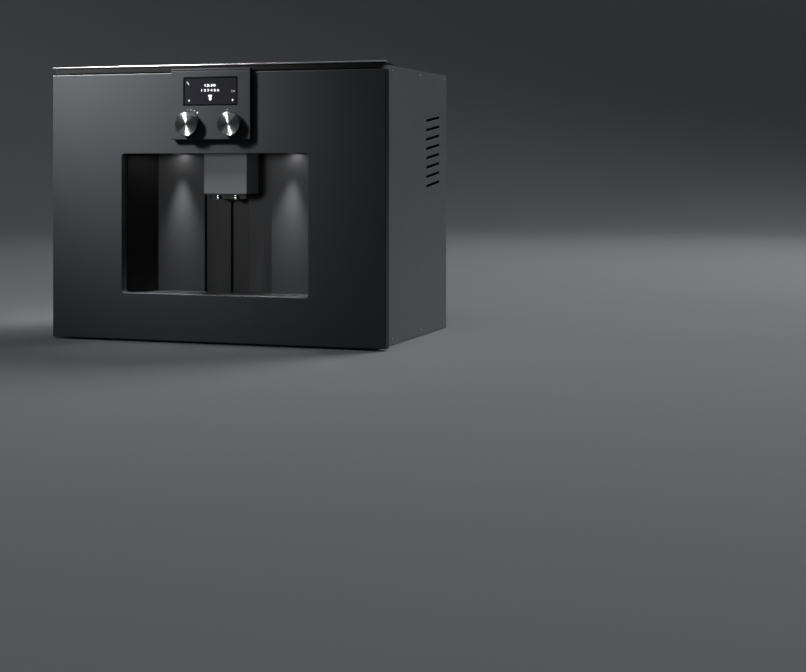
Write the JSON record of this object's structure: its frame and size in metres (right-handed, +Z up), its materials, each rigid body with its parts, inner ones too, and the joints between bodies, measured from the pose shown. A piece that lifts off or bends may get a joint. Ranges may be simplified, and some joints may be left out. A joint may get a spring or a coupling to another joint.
{
  "type": "built-in coffee machine",
  "caption": "Built-in bean-to-cup coffee machine with a hinged front, a lit dispensing niche, a height-adjustable outlet and turned steel knobs.",
  "frame": {"origin": "cabinet floor under the middle of the casing, at the cabinet front edge", "axes": "+X to the right seen from the front, +Y into the cabinet, +Z up"},
  "size_m": [0.59, 0.396, 0.452],
  "materials": {
    "casing_zinc": "zinc-coated sheet steel, dull spangle",
    "front_anthracite": "satin anthracite front with a soft metallic sheen",
    "niche_grey": "satin dark grey niche panels",
    "niche_black": "satin black niche walls and ceiling",
    "black_plastic": "fine-grained black moulding",
    "grey_plastic": "fine-grained grey moulding",
    "bright_steel": "bright turned and polished stainless steel",
    "grate_steel": "brushed stainless drip plate",
    "smoked_plastic": "smoked transparent moulding",
    "display_glass": "dark display glass",
    "lamp_lens": "frosted lamp lens",
    "circuit_board": "solder-masked board",
    "boiler_aluminium": "cast boiler block"
  },
  "bodies": {
    "casing": {"base_pan": "casing_zinc", "side_panel_left": "casing_zinc", "side_panel_right": "casing_zinc", "top_cover": "casing_zinc", "rear_panel": "casing_zinc", "partition_left": "casing_zinc", "partition_right": "casing_zinc", "bean_shelf": "casing_zinc", "pump": "casing_zinc", "grinder_motor": "casing_zinc", "inner_floor": "casing_zinc", "niche_back_left": "niche_grey", "niche_back_right": "niche_grey", "niche_centre_panel": "niche_grey", "niche_wall_left": "niche_black", "niche_wall_right": "niche_black", "niche_ceiling": "niche_black", "mains_inlet": "black_plastic", "front_frame_left": "black_plastic", "front_frame_right": "black_plastic", "front_frame_top": "black_plastic", "tank_dock": "black_plastic", "grinder_housing": "black_plastic", "brew_chamber": "black_plastic", "catch_magnet": "black_plastic", "brew_unit_cover": "grey_plastic", "fascia_left": "grey_plastic", "fascia_right": "grey_plastic", "brew_frame": "grey_plastic", "trim_strip": "bright_steel", "hinge_bracket_lower": "bright_steel", "hinge_bracket_upper": "bright_steel", "lamp_left": "lamp_lens", "lamp_right": "lamp_lens", "power_board": "circuit_board", "boiler": "boiler_aluminium"},
    "door": {"door_panel": "front_anthracite", "door_liner": "black_plastic", "hinge_leaf_lower": "bright_steel", "hinge_leaf_upper": "bright_steel", "module_housing": "front_anthracite", "display_window": "display_glass", "control_board": "circuit_board"},
    "left_knob": {"left_knob": "bright_steel"},
    "selector_shaft": {"selector_shaft": "bright_steel"},
    "right_knob": {"right_knob": "bright_steel"},
    "outlet": {"outlet_housing": "front_anthracite", "outlet_carriage": "black_plastic", "nozzle_block": "black_plastic", "spout_left": "bright_steel", "spout_right": "bright_steel"},
    "tray_drawer": {"drip_tray": "black_plastic", "grounds_container": "grey_plastic"},
    "drip_grate": {"drip_grate": "grate_steel"},
    "water_tank": {"water_tank": "smoked_plastic", "tank_lid": "black_plastic"},
    "bean_container": {"bean_container": "smoked_plastic", "bean_lid": "black_plastic"},
    "brew_piston": {"brew_piston": "bright_steel"},
    "grinder_burr": {"grinder_burr": "bright_steel"}
  },
  "joints": [
    {"name": "door_hinge", "type": "hinge", "parent": "casing", "child": "door", "pos_m": [-0.288, -0.013, 0], "axis": [0, 0, -1], "range_deg": [0, 110]},
    {"name": "left_knob_turn", "type": "hinge", "parent": "door", "child": "left_knob", "pos_m": [-0.0373, -0.031, 0.355], "axis": [0, 1, 0], "range_deg": [0, 45]},
    {"name": "selector_press", "type": "slide", "parent": "door", "child": "selector_shaft", "axis": [0, 1, 0], "range_m": [0, 0.001], "stiffness_N_per_m": 1500},
    {"name": "right_knob_turn", "type": "hinge", "parent": "selector_shaft", "child": "right_knob", "pos_m": [0.0373, -0.031, 0.355], "axis": [0, 1, 0], "continuous": true},
    {"name": "outlet_height", "type": "slide", "parent": "casing", "child": "outlet", "axis": [0, 0, -1], "range_m": [0, 0.08]},
    {"name": "tray_slide", "type": "slide", "parent": "casing", "child": "tray_drawer", "axis": [0, -1, 0], "range_m": [0, 0.2]},
    {"name": "grate_lift", "type": "slide", "parent": "tray_drawer", "child": "drip_grate", "axis": [0, 0, 1], "range_m": [0, 0.06]},
    {"name": "tank_slide", "type": "slide", "parent": "casing", "child": "water_tank", "axis": [0, -1, 0], "range_m": [0, 0.25]},
    {"name": "bean_slide", "type": "slide", "parent": "casing", "child": "bean_container", "axis": [0, -1, 0], "range_m": [0, 0.2]},
    {"name": "piston_stroke", "type": "slide", "parent": "casing", "child": "brew_piston", "axis": [0, 0, -1], "range_m": [0, 0.08]},
    {"name": "burr_spin", "type": "hinge", "parent": "casing", "child": "grinder_burr", "pos_m": [0.105, 0.148, 0.25], "axis": [0, 0, 1], "continuous": true}
  ],
  "couplings": [
    {"joint": "tray_slide", "follows": "door_hinge", "m_per_rad": 0.104},
    {"joint": "tank_slide", "follows": "door_hinge", "m_per_rad": 0.13},
    {"joint": "bean_slide", "follows": "door_hinge", "m_per_rad": 0.104}
  ]
}
